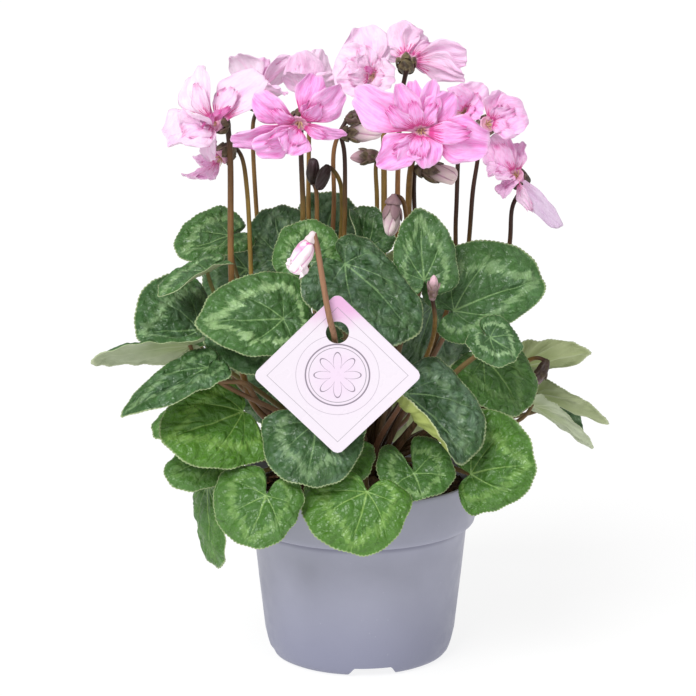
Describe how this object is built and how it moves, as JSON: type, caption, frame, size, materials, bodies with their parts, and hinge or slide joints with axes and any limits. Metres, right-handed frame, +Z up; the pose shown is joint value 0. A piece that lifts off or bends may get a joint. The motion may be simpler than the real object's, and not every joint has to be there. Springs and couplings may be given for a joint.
{
  "type": "potted cyclamen",
  "caption": "Flowering pot plant with heart-shaped patterned leaves, pink blooms on upright stalks, a plain tapered pot and a square card hung on a stalk.",
  "frame": {"origin": "on the pot's axis at the ground, which is the centre of the whole plant's outline in plan to within a millimetre or two", "axes": "+Z up along the pot's axis and the plant's height; the side seen in the picture, with the hanging card, faces -Y; +X is to the right in the picture"},
  "size_m": [0.2542, 0.2031, 0.3194],
  "materials": {
    "pot_plastic": "matte",
    "peat": "matte",
    "stem": "satin",
    "card": "matte",
    "leaf_blade": "satin",
    "petal": "matte",
    "bud_petal": "matte"
  },
  "bodies": {
    "root": {"pot": "pot_plastic", "soil": "peat", "stems": "stem", "label": "card", "leaf_left_1": "leaf_blade", "leaf_left_2": "leaf_blade", "leaf_left_3": "leaf_blade", "leaf_left_4": "leaf_blade", "leaf_left_5": "leaf_blade", "leaf_left_6": "leaf_blade", "leaf_left_7": "leaf_blade", "leaf_left_8": "leaf_blade", "leaf_left_9": "leaf_blade", "leaf_front_1": "leaf_blade", "leaf_front_2": "leaf_blade", "leaf_front_3": "leaf_blade", "leaf_front_4": "leaf_blade", "leaf_front_5": "leaf_blade", "leaf_front_6": "leaf_blade", "leaf_front_7": "leaf_blade", "leaf_front_8": "leaf_blade", "leaf_front_9": "leaf_blade", "leaf_front_10": "leaf_blade", "leaf_front_11": "leaf_blade", "leaf_front_12": "leaf_blade", "leaf_right_1": "leaf_blade", "leaf_right_2": "leaf_blade", "leaf_right_3": "leaf_blade", "leaf_right_4": "leaf_blade", "leaf_right_5": "leaf_blade", "leaf_right_6": "leaf_blade", "leaf_right_7": "leaf_blade", "leaf_right_8": "leaf_blade", "leaf_right_9": "leaf_blade", "leaf_rear_1": "leaf_blade", "leaf_rear_2": "leaf_blade", "leaf_rear_3": "leaf_blade", "leaf_rear_4": "leaf_blade", "leaf_rear_5": "leaf_blade", "leaf_rear_6": "leaf_blade", "leaf_rear_7": "leaf_blade", "leaf_rear_8": "leaf_blade", "leaf_rear_9": "leaf_blade", "leaf_rear_10": "leaf_blade", "bloom_1": "petal", "bloom_2": "petal", "bloom_3": "petal", "bloom_4": "petal", "bloom_5": "petal", "bloom_6": "petal", "bloom_7": "petal", "bloom_8": "petal", "bloom_9": "petal", "bloom_10": "petal", "bloom_11": "petal", "bud_1": "bud_petal", "bud_2": "bud_petal", "bud_3": "bud_petal", "bud_4": "bud_petal"}
  },
  "joints": []
}
